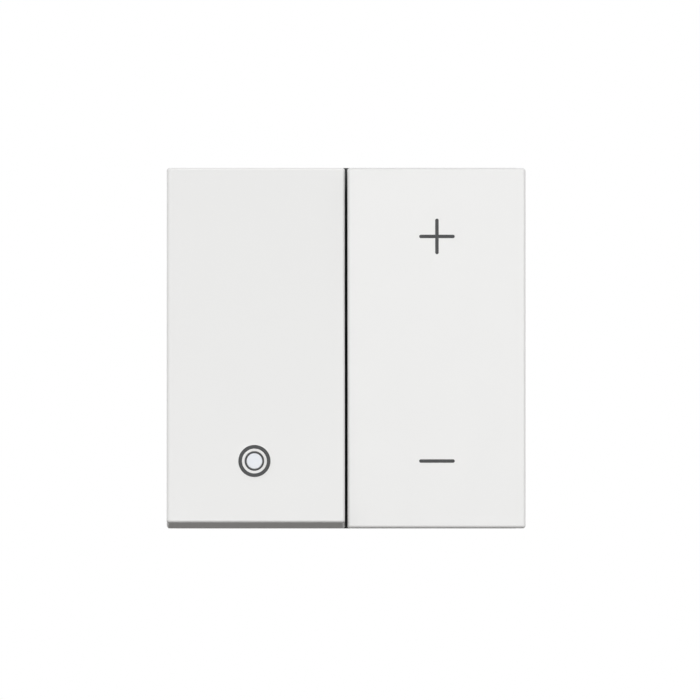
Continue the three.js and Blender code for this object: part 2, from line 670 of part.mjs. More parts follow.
function makeTerminal(device, number, x) {
  const head = bar("z", SCREW.head, SCREW.headZ, [x, SCREW_Y], 28);
  const shank = bar("z", SCREW.shank, [SCREW.headZ[1] - 0.2, BUSBAR_Z[0] - 0.1], [x, SCREW_Y], 20);
  const blades = [
    block([x - 3.2, x + 3.2], [SCREW_Y - 0.42, SCREW_Y + 0.42], [-30, SCREW.headZ[0] + 1]),
    block([x - 0.42, x + 0.42], [SCREW_Y - 1.9, SCREW_Y + 1.9], [-30, SCREW.headZ[0] + 1.2]),
  ];
  piece(`terminal_screw_${number}`, cut(join(head, shank), ...blades), STEEL, device);

  const { halfX, y, plateZ, barZ, wall } = CAGE;
  const outside = block([x - halfX, x + halfX], y, [plateZ[0], barZ[1]]);
  const mouth = block([x - halfX + wall, x + halfX - wall], [y[0] - 1, y[1] + 1], [plateZ[1], barZ[0]]);
  const tapped = bar("z", SCREW.shank + 0.2, [plateZ[0] - 1, plateZ[1] + 0.5], [x, SCREW_Y], 24);
  piece(`terminal_cage_${number}`, cut(outside, mouth, tapped), BRASS, device);

  const strip = block([x - 1.9, x + 1.9], [-15.6, LEG_Y[1]], BUSBAR_Z);
  const upright = block([x - 1.5, x + 1.5], LEG_Y, [BUSBAR_Z[0], POWER_FRONT + 1.2]);
  piece(`terminal_busbar_${number}`, join(strip, upright), BRASS, device);
}

// ---------------------------------------------------------------- rear housing
const BLOCK = { halfX: 19.8, y: [-18.2, -5.8], top: -16.2 };
const CHAMBER = { halfX: 3.7, y: [-16.2, -7], floor: -26.2 };
const ENTRY = { halfX: 2.5, z: [-21.3, -16.6] };
const TONGUE = { half: 3, outer: 22.05, inner: 21.15, tip: -2.3, root: -13 };

function makeRearHousing(device) {
  const { width, height, corner, wall, back, split } = BODY;
  const shell = cut(
    loft([
      [width - 2, height - 2, corner - 1, back],
      [width, height, corner, back + 1],
      [width, height, corner, split],
    ]),
    plate(width - 2 * wall, height - 2 * wall, corner - wall, [back + 1.6, split + 1]),
  );
  const lip = cut(
    join(
      plate(width - 3.4, height - 3.4, corner - 1.7, [split - 1.7, split + 1.7]),
      plate(width - 2, height - 2, corner - 1, [split - 1.7, split - 0.4]),
    ),
    plate(width - 5.2, height - 5.2, corner - 2.2, [split - 3, split + 3]),
  );
  const terminalBlock = block([-BLOCK.halfX, BLOCK.halfX], BLOCK.y, [back + 1, BLOCK.top]);
  const tongues = [];
  const catches = [];
  for (const side of [-1, 1]) {
    for (const y of [-LUG.y, LUG.y]) {
      const outer = side * TONGUE.outer;
      const inner = side * TONGUE.inner;
      const embedded = side * (width / 2 - 0.6);
      const profile = [
        [embedded, TONGUE.root],
        [side * (width / 2), TONGUE.root],
        [outer, TONGUE.root + 1.2],
        [outer, TONGUE.tip - 0.6],
        [outer - side * 0.4, TONGUE.tip],
        [inner, TONGUE.tip],
        [inner, split - 0.2],
        [embedded, split - 0.2],
      ];
      tongues.push(wedge("y", profile, [y - TONGUE.half, y + TONGUE.half]));
      const catchDepth = [LUG.z[0] - 0.3, LUG.z[1] + 0.2];
      catches.push(centred([(inner + outer) / 2, y], [2.9, 2 * LUG.half + 0.6], catchDepth));
    }
  }
  const cavities = TERMINALS.flatMap((x) => [
    block([x - CHAMBER.halfX, x + CHAMBER.halfX], CHAMBER.y, [CHAMBER.floor, BLOCK.top + 1]),
    bar("z", SCREW.head + 0.4, [back - 1, SCREW.headZ[1] + 0.1], [x, SCREW_Y], 32),
    bar("z", SCREW.shank + 0.3, [SCREW.headZ[1] - 0.5, CHAMBER.floor + 0.5], [x, SCREW_Y], 24),
    block([x - ENTRY.halfX, x + ENTRY.halfX], [-height / 2 - 1, CHAMBER.y[0] + 0.5], ENTRY.z),
  ]);
  const vents = [];
  for (let i = 0; i < 5; i++) {
    const y = 1 + i * 3.2;
    for (const x of [-8.6, 8.6]) vents.push(plate(13, 1.1, 0.5, [back - 1, back + 3], [x, y], 2));
  }
  const whole = join(shell, lip, terminalBlock, ...tongues);
  piece("rear_housing", cut(whole, ...cavities, ...catches, ...vents), DARK_PLASTIC, device);
}

// ---------------------------------------------------------------- assembly
function makeDimmer() {
  const device = new THREE.Group();
  makeOnOffKey(device);
  makeDimmingKey(device);
  makeReturnSpring(device);
  makeFrontHousing(device);
  makeControlBoard(device);
  for (const [name, x, y] of SWITCHES) makeSwitch(device, name, x, y);
  makeLamp(device);
  piece("microcontroller", chip(KEY_PITCH, 0, BOARD_FRONT, [4.4, 5, 1.2], 6, 0.8), BLACK_PLASTIC, device);
  makePowerBoard(device);
  makeChoke(device);
  makeCapacitors(device);
  makeProtection(device);
  makePowerStage(device);
  TERMINALS.forEach((x, i) => makeTerminal(device, i + 1, x));
  makeRearHousing(device);
  device.rotation.x = Math.PI / 2;
  const upright = new THREE.Group();
  upright.add(device);
  return upright;
}

export default makeDimmer();
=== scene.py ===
import json
import math

import bmesh
import bpy
from mathutils import Matrix, Vector


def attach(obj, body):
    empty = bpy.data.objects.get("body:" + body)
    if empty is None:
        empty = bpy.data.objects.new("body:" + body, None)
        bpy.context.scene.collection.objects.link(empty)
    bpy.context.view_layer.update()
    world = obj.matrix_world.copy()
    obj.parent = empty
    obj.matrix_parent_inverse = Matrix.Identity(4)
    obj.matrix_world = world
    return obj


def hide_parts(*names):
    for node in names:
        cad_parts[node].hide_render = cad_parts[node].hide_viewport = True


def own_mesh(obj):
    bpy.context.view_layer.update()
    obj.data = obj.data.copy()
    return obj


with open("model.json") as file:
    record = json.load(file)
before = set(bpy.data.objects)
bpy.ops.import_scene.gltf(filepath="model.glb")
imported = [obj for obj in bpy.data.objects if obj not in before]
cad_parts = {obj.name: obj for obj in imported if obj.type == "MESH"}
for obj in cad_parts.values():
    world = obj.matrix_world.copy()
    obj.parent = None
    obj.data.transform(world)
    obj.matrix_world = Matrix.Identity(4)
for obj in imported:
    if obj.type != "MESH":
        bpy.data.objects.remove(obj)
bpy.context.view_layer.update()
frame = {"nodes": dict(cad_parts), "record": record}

DEVICE = Matrix.Rotation(math.radians(90), 4, "X") @ Matrix.Scale(0.001, 4)

# ---------------------------------------------------------------- dimensions shared with part.mjs
KEY_WIDTH = 22.26
KEY_GAP = 0.26
KEY_DEPTH = 8.0
SIDE_DRAFT = math.radians(0.3)
END_DRAFT = math.radians(0.8)
KEY_CORNER = 0.35
MODULE_HEIGHT = 45.0
FACE_WALL = 1.5
SKIRT_WALL = 1.25
PIVOT_Z = 7.0
FACE = 4.6  # a key's face over its pivot
FACE_IN = FACE - FACE_WALL
SKIRT_END = FACE - KEY_DEPTH
REST_TILT = math.radians(5)
KEY_PITCH = (KEY_WIDTH + KEY_GAP) / 2
LEVER = 8.0
ROCKER_HALF = 7.8
ROCKER_UNDER = 1.2
DECK = 1.2  # front of the front housing's flange
LENS_X = -0.16  # from the key's middle
LENS_Y = -14.5
LENS_RADIUS = 0.98
LENS_GAP = 0.24
GUIDE_Y = -14.3
SPRING_X = -4.4
SWITCH_X = 4.0
TERMINALS = (-12.4, 0.0, 12.4)
SCREW_Y = -12.0
BACK = -30.0  # back of the rear housing

# ---------------------------------------------------------------- dimensions of the marks and tracks
MARK_X = 0.05  # plus and minus, from the key's middle
PLUS_Y = 13.93
MINUS_Y = -14.05
MARK_LENGTH = 4.44
MARK_LINE = 0.43
RING_OUTER = 2.0
RING_INNER = 1.55
INK_THICK = 0.02
INK_SUNK = 0.005  # how far the ink reaches into the face
NUMBER_Y = -7.8  # foot of the terminal numbers
NUMBER_SIZE = 3.0
NUMBER_WEIGHT = 0.04  # how far the strokes are thickened all round
TRACK_PITCH = 1.0  # copper tracks on the boards
TRACK_PATCH = 6.0

LEFT_KEY = DEVICE @ Matrix.Translation((-KEY_PITCH, 0, PIVOT_Z)) @ Matrix.Rotation(-REST_TILT, 4, "X")
RIGHT_KEY = DEVICE @ Matrix.Translation((KEY_PITCH, 0, PIVOT_Z))


# ---------------------------------------------------------------- mesh code
def make_object(name, verts, faces, matrix):
    """A piece from points in millimetres, its normals pointing out."""
    mesh = bpy.data.meshes.new(name)
    mesh.from_pydata(verts, [], faces)
    shape = bmesh.new()
    shape.from_mesh(mesh)
    bmesh.ops.recalc_face_normals(shape, faces=shape.faces)
    shape.to_mesh(mesh)
    shape.free()
    mesh.transform(matrix)
    piece = bpy.data.objects.new(name, mesh)
    bpy.context.scene.collection.objects.link(piece)
    return piece


def smooth(piece, angle=35):
    """Smooth shading up to an angle, with flat faces kept flat by weighted normals."""
    piece.data.shade_smooth()
    piece.data.set_sharp_from_angle(angle=math.radians(angle))
    weighted = piece.modifiers.new("weighted", "WEIGHTED_NORMAL")
    weighted.keep_sharp = True
    return piece


def boolean(piece, tool, operation):
    """The piece joined to the tool, or cut by it; the tool is used up."""
    modifier = piece.modifiers.new("boolean", "BOOLEAN")
    modifier.operation = operation
    modifier.solver = "EXACT"
    modifier.object = tool
    result = bpy.data.meshes.new_from_object(piece.evaluated_get(bpy.context.evaluated_depsgraph_get()))
    piece.modifiers.remove(modifier)
    piece.data = result
    bpy.data.objects.remove(tool)
    return piece


def rounded_loop(width, height, radius, z, steps=8):
    """Points round a rectangle with rounded corners, counter-clockwise from the upper right corner."""
    points = []
    for corner in range(4):
        across = 1 if corner in (0, 3) else -1
        up = 1 if corner < 2 else -1
        for step in range(steps + 1):
            turn = (corner + step / steps) * math.pi / 2
            x = across * (width / 2 - radius) + radius * math.cos(turn)
            y = up * (height / 2 - radius) + radius * math.sin(turn)
            points.append((x, y, z))
    return points


def round_loop(radius, z, centre=(0, 0), count=36):
    """Points round a circle, in step with rounded_loop's."""
    turns = [(i + 0.5) * 2 * math.pi / count for i in range(count)]
    return [(centre[0] + radius * math.cos(t), centre[1] + radius * math.sin(t), z) for t in turns]


def skin(loops, ends="capped"):
    """Vertices and faces through loops of equal length, with capped ends or joined end to end as a ring."""
    count = len(loops[0])
    verts = [point for loop in loops for point in loop]
    spans = len(loops) if ends == "ring" else len(loops) - 1
    faces = []
    for loop in range(spans):
        a = loop * count
        b = (loop + 1) % len(loops) * count
        for i in range(count):
            j = (i + 1) % count
            faces.append((a + i, a + j, b + j, b + i))
    if ends == "capped":
        faces.append(tuple(range(count)))
        faces.append(tuple(range(len(verts) - count, len(verts))))
    return verts, faces


def turned(profile, centre=(0, 0), count=64):
    """A turned solid from (radius, z) points; its two ends are closed flat."""
    return skin([round_loop(radius, z, centre, count) for radius, z in profile])


def box(x, y, z):
    """A box between limits on each axis."""
    corners = [(x[0], y[0]), (x[1], y[0]), (x[1], y[1]), (x[0], y[1])]
    return skin([[(u, v, level) for u, v in corners] for level in z])


def prism(outline, across):
    """An (x, z) outline pushed along y."""
    return skin([[(x, y, z) for x, z in outline] for y in across])


def tube(path, radius, sides=12):
    """A round wire along a list of points, with flat ends."""
    points = [Vector(p) for p in path]
    loops = []
    side = (points[1] - points[0]).orthogonal()
    for i, point in enumerate(points):
        along = (points[min(i + 1, len(points) - 1)] - points[max(i - 1, 0)]).normalized()
        side = (side - along * side.dot(along)).normalized()
        other = along.cross(side)
        turns = [2 * math.pi * k / sides for k in range(sides)]
        loops.append([tuple(point + radius * (math.cos(t) * side + math.sin(t) * other)) for t in turns])
    return skin(loops)


def arc(steps):
    """Shares (1 - cos, sin) of a quarter turn, for a fillet from a wall to a face."""
    turns = [math.pi / 2 * step / steps for step in range(steps + 1)]
    return [(1 - math.cos(t), math.sin(t)) for t in turns]


# ---------------------------------------------------------------- materials
def start_material(name):
    """A material with a shader and coordinates in millimetres."""
    material = bpy.data.materials.new(name)
    material.use_nodes = True
    nodes = material.node_tree.nodes
    shader = nodes["Principled BSDF"]
    place = nodes.new("ShaderNodeTexCoord")
    scale = nodes.new("ShaderNodeMapping")
    scale.inputs["Scale"].default_value = (1000, 1000, 1000)
    material.node_tree.links.new(place.outputs["Object"], scale.inputs["Vector"])
    return material, shader, scale.outputs["Vector"]


def noise(tree, place, size, detail=2.0, stretch=None):
    """Noise with features of the given size in millimetres, perhaps stretched into streaks."""
    if stretch:
        squeeze = tree.nodes.new("ShaderNodeMapping")
        squeeze.inputs["Scale"].default_value = stretch
        tree.links.new(place, squeeze.inputs["Vector"])
        place = squeeze.outputs["Vector"]
    texture = tree.nodes.new("ShaderNodeTexNoise")
    texture.inputs["Scale"].default_value = 1 / size
    texture.inputs["Detail"].default_value = detail
    tree.links.new(place, texture.inputs["Vector"])
    return texture.outputs["Fac"]


def between(tree, share, low, high, start=0.3, stop=0.7):
    """A value that goes from low to high as share goes from start to stop."""
    ramp = tree.nodes.new("ShaderNodeMapRange")
    ramp.inputs["From Min"].default_value = start
    ramp.inputs["From Max"].default_value = stop
    ramp.inputs["To Min"].default_value = low
    ramp.inputs["To Max"].default_value = high
    tree.links.new(share, ramp.inputs["Value"])
    return ramp.outputs["Result"]


def mixed(tree, share, first, second, start=0.3, stop=0.7):
    """A colour that goes from first to second as share goes from start to stop."""
    ramp = tree.nodes.new("ShaderNodeValToRGB")
    ramp.color_ramp.elements[0].position = start
    ramp.color_ramp.elements[0].color = (*first, 1)
    ramp.color_ramp.elements[1].position = stop
    ramp.color_ramp.elements[1].color = (*second, 1)
    tree.links.new(share, ramp.inputs["Fac"])
    return ramp.outputs["Color"]


def arithmetic(tree, operation, first, second):
    """One value from two; either may be a number."""
    node = tree.nodes.new("ShaderNodeMath")
    node.operation = operation
    for socket, value in zip(node.inputs, (first, second)):
        if isinstance(value, (int, float)):
            socket.default_value = value
        else:
            tree.links.new(value, socket)
    return node.outputs["Value"]


def bump(tree, shader, height, depth):
    """Relief of the given depth in millimetres."""
    relief = tree.nodes.new("ShaderNodeBump")
    relief.inputs["Strength"].default_value = 1.0
    relief.inputs["Distance"].default_value = depth / 1000
    tree.links.new(height, relief.inputs["Height"])
    tree.links.new(relief.outputs["Normal"], shader.inputs["Normal"])


def shade(colour, factor):
    """The colour made darker, or lighter up to white."""
    return tuple(min(1.0, channel * factor) for channel in colour)


def plastic(name, colour, roughness, grain, depth, mottle=0.02, patch=4.0, coat=0.0, uneven=0.03):
    """Moulded plastic: a fine eroded grain, faint mottling and slightly uneven gloss."""
    material, shader, place = start_material(name)
    tree = material.node_tree
    patches = noise(tree, place, patch, 3.0)
    tone = mixed(tree, patches, shade(colour, 1 - mottle), shade(colour, 1 + mottle))
    tree.links.new(tone, shader.inputs["Base Color"])
    gloss = between(tree, noise(tree, place, patch * 0.6, 4.0), roughness - uneven, roughness + uneven)
    tree.links.new(gloss, shader.inputs["Roughness"])
    shader.inputs["IOR"].default_value = 1.5
    shader.inputs["Coat Weight"].default_value = coat
    shader.inputs["Coat Roughness"].default_value = 0.15
    bump(tree, shader, noise(tree, place, grain, 3.0), depth)
    return material


def metal(name, colour, roughness, streak, tarnish=0.12, depth=0.003):
    """Drawn or rolled metal: streaks along one direction and patches where it has dulled."""
    material, shader, place = start_material(name)
    tree = material.node_tree
    shader.inputs["Metallic"].default_value = 1.0
    patches = noise(tree, place, 1.8, 4.0)
    tone = mixed(tree, patches, shade(colour, 1 - tarnish), shade(colour, 1.04))
    tree.links.new(tone, shader.inputs["Base Color"])
    streaks = noise(tree, place, 0.06, 2.0, streak)
    gloss = between(tree, streaks, roughness - 0.08, roughness + 0.1)
    tree.links.new(gloss, shader.inputs["Roughness"])
    bump(tree, shader, streaks, depth)
    return material


def clear_plastic():
    """Frosted, faintly blue light-guide plastic that lets a little light through."""
    material, shader, place = start_material("clear_plastic")
    tree = material.node_tree
    cloud = noise(tree, place, 0.9, 2.0)
    tree.links.new(mixed(tree, cloud, (0.86, 0.9, 0.96), (0.9, 0.93, 0.97)), shader.inputs["Base Color"])
    tree.links.new(between(tree, noise(tree, place, 0.3), 0.3, 0.4), shader.inputs["Roughness"])
    shader.inputs["IOR"].default_value = 1.49
    shader.inputs["Transmission Weight"].default_value = 0.05
    bump(tree, shader, noise(tree, place, 0.12), 0.002)
    return material


def solder_mask():
    """Green solder mask over copper tracks, in patches of upright runs, level runs and plain ground."""
    material, shader, place = start_material("board_laminate")
    tree = material.node_tree
    where = tree.nodes.new("ShaderNodeSeparateXYZ")
    tree.links.new(place, where.inputs["Vector"])
    patches = tree.nodes.new("ShaderNodeTexVoronoi")
    patches.distance = "CHEBYCHEV"
    patches.inputs["Scale"].default_value = 1 / TRACK_PATCH
    tree.links.new(place, patches.inputs["Vector"])
    draw = tree.nodes.new("ShaderNodeSeparateColor")
    tree.links.new(patches.outputs["Color"], draw.inputs["Color"])
    upright = arithmetic(tree, "LESS_THAN", draw.outputs["Red"], 0.3)
    level = arithmetic(tree, "GREATER_THAN", draw.outputs["Red"], 0.6)
    runs = []
    for axis, here in (("X", upright), ("Z", level)):
        off_centre = arithmetic(tree, "PINGPONG", where.outputs[axis], TRACK_PITCH / 2)
        line = between(tree, off_centre, 1.0, 0.0, 0.12, 0.17)
        runs.append(arithmetic(tree, "MULTIPLY", line, here))
    tracks = arithmetic(tree, "ADD", *runs)
    tone = mixed(tree, tracks, (0.014, 0.095, 0.04), (0.022, 0.135, 0.055), 0.0, 1.0)
    tree.links.new(tone, shader.inputs["Base Color"])
    tree.links.new(between(tree, noise(tree, place, 0.7), 0.28, 0.4), shader.inputs["Roughness"])
    shader.inputs["Coat Weight"].default_value = 0.3
    bump(tree, shader, tracks, 0.02)
    return material


def printed_ink(name, dark, light):
    """Pad-printed ink, thin enough for a little of the plastic to show in it."""
    material, shader, place = start_material(name)
    tree = material.node_tree
    speckle = noise(tree, place, 0.05, 3.0)
    tree.links.new(mixed(tree, speckle, dark, light), shader.inputs["Base Color"])
    tree.links.new(between(tree, noise(tree, place, 0.2), 0.45, 0.6), shader.inputs["Roughness"])
    bump(tree, shader, speckle, 0.002)
    return material


MATERIALS = {
    "key_white": plastic(
        "key_white", (0.83, 0.83, 0.822), 0.3, 0.05, 0.0015, mottle=0.002, patch=9.0, coat=0.15, uneven=0.008
    ),
    "clear_plastic": clear_plastic(),
    "natural_plastic": plastic("natural_plastic", (0.72, 0.7, 0.62), 0.45, 0.08, 0.004, mottle=0.03),
    "housing_plastic": plastic("housing_plastic", (0.034, 0.036, 0.039), 0.52, 0.3, 0.035, mottle=0.06),
    "board_laminate": solder_mask(),
    "component_black": plastic(
        "component_black", (0.014, 0.014, 0.016), 0.42, 0.06, 0.006, mottle=0.1, patch=1.5
    ),
    "film_yellow": plastic("film_yellow", (0.62, 0.47, 0.04), 0.35, 0.2, 0.006, mottle=0.05, coat=0.2),
    "ceramic_blue": plastic("ceramic_blue", (0.025, 0.12, 0.33), 0.3, 0.4, 0.02, mottle=0.08, coat=0.4),
    "ferrite": plastic("ferrite", (0.07, 0.2, 0.09), 0.5, 0.15, 0.02, mottle=0.12, patch=1.0),
    "copper": metal("copper", (0.66, 0.27, 0.1), 0.3, (1, 1, 0.3)),
    "aluminium": metal("aluminium", (0.72, 0.73, 0.74), 0.38, (0.04, 1, 1)),
    "steel": metal("steel", (0.62, 0.63, 0.65), 0.32, (1, 0.15, 1)),
    "brass": metal("brass", (0.73, 0.52, 0.2), 0.32, (0.12, 1, 1), tarnish=0.2),
}
# The dark ink also colours the sleeve round the lens, where it is painted shade.
DARK_INK_AND_SHADE = printed_ink("dark_ink_and_shade", (0.042, 0.045, 0.047), (0.062, 0.064, 0.066))
PALE_INK = printed_ink("pale_ink", (0.4, 0.4, 0.38), (0.5, 0.5, 0.48))


def finish_piece(piece, slot, body):
    """Gives a new piece the material of its slot in the record, and the body it rides on."""
    piece.data.materials.clear()
    piece.data.materials.append(MATERIALS[slot])
    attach(piece, body)


def finish_ink(piece, ink, body):
    """Smooths a printed detail, or a dark piece of painted shade, and gives it its ink and the body it rides
    on.
    """
    smooth(piece)
    piece.data.materials.append(ink)
    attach(piece, body)


# ---------------------------------------------------------------- key caps
KEY_FILLET = 0.3  # round the face
RIM_FILLET = 0.14
CEILING_FILLET = 0.3
INNER_CORNER = 0.4
CLIP_HALF = 2.0  # half a clip's width
CLIP_Y = 7.0
WINDOW_EDGE = 0.05  # round the window, inside and out
BEZEL_INNER = 2.0  # the collar behind the face that guides the lens
BEZEL_OUTER = 2.7
BEZEL_DEPTH = 0.9


def cap_loops(face_height):
    """Loops over the outside of a key cap, from its face to its rim, and up its inside to the ceiling."""

    def outer(z, inset):
        width = KEY_WIDTH - 2 * math.tan(SIDE_DRAFT) * (z - SKIRT_END) - 2 * inset
        height = face_height + 2 * math.tan(END_DRAFT) * (FACE - z) - 2 * inset
        return rounded_loop(width, height, KEY_CORNER - min(inset, KEY_FILLET), z)

    def inner(z, inset):
        width = KEY_WIDTH - 2 * SKIRT_WALL - 0.2
        height = face_height - 2 * SKIRT_WALL
        return rounded_loop(width - 2 * inset, height - 2 * inset, INNER_CORNER, z)

    shoulder = FACE - KEY_FILLET
    rim = SKIRT_END + RIM_FILLET
    ceiling = FACE_IN - CEILING_FILLET
    loops = [outer(FACE, KEY_FILLET + 0.12)]
    loops += [outer(shoulder + KEY_FILLET * up, KEY_FILLET * back) for back, up in reversed(arc(7))]
    loops.append(outer(shoulder - 0.3, 0))
    loops += [outer(rim - RIM_FILLET * up, RIM_FILLET * back) for back, up in arc(4)]
    loops += [inner(rim - RIM_FILLET * up, -RIM_FILLET * back) for back, up in reversed(arc(4))]
    loops += [inner(ceiling + CEILING_FILLET * up, CEILING_FILLET * back) for back, up in arc(4)]
    return loops


def clip(side, y):
    """One of the cap's hooks, which reaches round the rocker's plate."""
    inside = ROCKER_HALF + 0.4
    lip = ROCKER_UNDER - 0.3
    outline = [
        (inside, FACE_IN + 0.4),
        (inside, lip),
        (inside - 0.9, lip),
        (inside - 0.96, lip - 0.08),
        (inside - 0.94, lip - 0.2),
        (inside, lip - 0.86),
        (inside + 0.1, lip - 0.9),
        (inside + 0.9, lip - 0.9),
        (inside + 1.0, lip - 0.8),
        (inside + 1.0, FACE_IN + 0.4),
    ]
    return prism([(side * x, z) for x, z in outline], (y - CLIP_HALF, y + CLIP_HALF))


def key_shell(name, face_height, matrix, window=False):
    """A key cap; the on/off cap has a window for its lens."""
    loops = cap_loops(face_height)
    if window:
        hole = LENS_RADIUS + LENS_GAP
        centre = (LENS_X, LENS_Y)
        small = WINDOW_EDGE
        edge = [round_loop(hole + small * (1 - up), FACE - small * back, centre) for back, up in arc(3)]
        face = [round_loop(2.6, FACE, centre), *edge]
        end = FACE_IN - BEZEL_DEPTH
        bezel = [
            (hole, FACE_IN - 0.1),
            (BEZEL_INNER, FACE_IN - 0.1),
            (BEZEL_INNER, end + small),
            (BEZEL_INNER + small, end),
            (BEZEL_OUTER - small, end),
            (BEZEL_OUTER, end + small),
            (BEZEL_OUTER, FACE_IN),
            (BEZEL_OUTER + 0.2, FACE_IN),
        ]
        behind = [round_loop(radius, z, centre) for radius, z in reversed(bezel)]
        verts, faces = skin([*reversed(face), *loops, *behind], ends="ring")
    else:
        verts, faces = skin(loops)
    piece = make_object(name, verts, faces, matrix)
    for side in (-1, 1):
        for y in (-CLIP_Y, CLIP_Y):
            boolean(piece, make_object("clip", *clip(side, y), matrix), "UNION")
    return smooth(piece, 50)


def make_keys():
    """Both caps; the tilted one's face is cut so that the pair has one height from the front."""
    shift = FACE * math.sin(REST_TILT)
    left_face = (MODULE_HEIGHT - 2 * shift) / math.cos(REST_TILT)
    right_face = MODULE_HEIGHT - 2 * KEY_DEPTH * math.tan(END_DRAFT)
    left = key_shell("on_off_key_shell", left_face, LEFT_KEY, window=True)
    finish_piece(left, "key_white", "on_off_key")
    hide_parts("on_off_key_cap")
    right = key_shell("dimming_key_shell", right_face, RIGHT_KEY)
    finish_piece(right, "key_white", "dimming_key")
    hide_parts("dimming_key_cap")


# ---------------------------------------------------------------- printed marks
def stadium(length, width, steps=8):
    """Points round a bar with half-round ends, lying along x."""
    radius = width / 2
    points = []
    for end in (1, -1):
        for step in range(steps + 1):
            turn = end * math.pi / 2 - math.pi * step / steps
            points.append((end * (length / 2 - radius) + radius * math.cos(turn), radius * math.sin(turn)))
    return points


def raised(outline, centre):
    """A thin layer of ink on a key's face."""
    levels = (FACE - INK_SUNK, FACE + INK_THICK)
    return skin([[(centre[0] + x, centre[1] + y, z) for x, y in outline] for z in levels])


def make_marks():
    """The plus and minus on the right key and the ring on the left one."""
    bar = stadium(MARK_LENGTH, MARK_LINE)
    minus = make_object("minus_mark", *raised(bar, (MARK_X, MINUS_Y)), RIGHT_KEY)
    plus = make_object("plus_mark", *raised(bar, (MARK_X, PLUS_Y)), RIGHT_KEY)
    upright = make_object("upright", *raised([(-y, x) for x, y in bar], (MARK_X, PLUS_Y)), RIGHT_KEY)
    boolean(plus, upright, "UNION")
    profile = [
        (RING_INNER, FACE - INK_SUNK),
        (RING_OUTER, FACE - INK_SUNK),
        (RING_OUTER, FACE + INK_THICK),
        (RING_INNER, FACE + INK_THICK),
    ]
    loops = [round_loop(radius, z, (LENS_X, LENS_Y), 96) for radius, z in profile]
    ring = make_object("ring_mark", *skin(loops, ends="ring"), LEFT_KEY)
    finish_ink(minus, DARK_INK_AND_SHADE, "dimming_key")
    finish_ink(plus, DARK_INK_AND_SHADE, "dimming_key")
    finish_ink(ring, DARK_INK_AND_SHADE, "on_off_key")


# ---------------------------------------------------------------- turned pieces
AXIS = 0.01  # the radius where a turned piece's ends are closed
LENS_TOP = FACE - 0.03
LENS_FILLET = 0.1
LENS_FLANGE = 1.8  # radius of the flange that holds the lens in
LENS_STEM = 1.2
GUIDE_FOOT = -0.9
GUIDE_TOP = 7.8
GUIDE_RADIUS = 1.3
GUIDE_COLLAR = 1.9
BUTTON_FOOT = -0.9
BUTTON_TOP = 2.0
BUTTON_RADIUS = 1.6
BUTTON_FILLET = 0.2
BUTTON_COLLAR = 1.7
BUTTON_DISH = 0.9
DISH_DEPTH = 0.04
COLLAR_EDGE = 0.06


def collar(radius, low, high):
    """The rim of a collar in a turned profile, from its lower face to its upper one, with broken edges."""
    inset = radius - COLLAR_EDGE
    return [(inset, low), (radius, low + COLLAR_EDGE), (radius, high - COLLAR_EDGE), (inset, high)]


def make_turned(name, profile, centre, matrix, slot, body, node):
    """A turned piece that stands for a CAD node."""
    piece = make_object(name, *turned(profile, centre), matrix)
    smooth(piece)
    finish_piece(piece, slot, body)
    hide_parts(node)


def make_lens_and_guide():
    """The lens, flanged behind the face and slightly crowned, and the light guide on the board under it."""
    stem_foot, flange_foot, flange_top = FACE_IN - 1.7, FACE_IN - 0.8, FACE_IN - 0.2
    shoulder = LENS_TOP - LENS_FILLET
    lens = [(AXIS, stem_foot), (LENS_STEM - 0.1, stem_foot), (LENS_STEM, stem_foot + 0.1)]
    lens += [(LENS_STEM, flange_foot), (LENS_FLANGE - 0.05, flange_foot), (LENS_FLANGE, flange_foot + 0.05)]
    lens += [(LENS_FLANGE, flange_top - 0.05), (LENS_FLANGE - 0.05, flange_top), (LENS_RADIUS, flange_top)]
    lens += [(LENS_RADIUS, shoulder - 0.04)]
    lens += [(LENS_RADIUS - LENS_FILLET * back, shoulder + LENS_FILLET * up) for back, up in arc(5)]
    crown = ((0.6 * LENS_RADIUS, 0.006), (0.3 * LENS_RADIUS, 0.009), (AXIS, 0.01))
    lens += [(radius, LENS_TOP + rise) for radius, rise in crown]
    centre = (LENS_X, LENS_Y)
    make_turned("on_off_lens_fine", lens, centre, LEFT_KEY, "clear_plastic", "on_off_key", "on_off_lens")
    guide = [(AXIS, GUIDE_FOOT), (GUIDE_RADIUS - 0.1, GUIDE_FOOT), (GUIDE_RADIUS, GUIDE_FOOT + 0.1)]
    guide += [(GUIDE_RADIUS, 4.2), *collar(GUIDE_COLLAR, 4.2, 5.0), (GUIDE_RADIUS, 5.0)]
    guide += [(1.1, GUIDE_TOP - 0.1), (1.02, GUIDE_TOP - 0.02), (0.8, GUIDE_TOP), (AXIS, GUIDE_TOP)]
    centre = (-KEY_PITCH + LENS_X, GUIDE_Y)
    make_turned("light_guide_fine", guide, centre, DEVICE, "clear_plastic", "chassis", "light_guide")


def make_lens_seal():
    """A thin dark sleeve in the gap round the lens, coloured with the dark ink: painted shade that deepens
    the gap's shadow ring.
    """
    inside, outside = LENS_RADIUS + 0.01, LENS_RADIUS + LENS_GAP - 0.03
    low, high = FACE_IN - 0.15, FACE - 0.12
    profile = [(inside, low), (outside, low), (outside, high), (inside, high)]
    loops = [round_loop(radius, z, (LENS_X, LENS_Y), 64) for radius, z in profile]
    gap_shade = make_object("lens_gap_shade", *skin(loops, ends="ring"), LEFT_KEY)
    finish_ink(gap_shade, DARK_INK_AND_SHADE, "on_off_key")


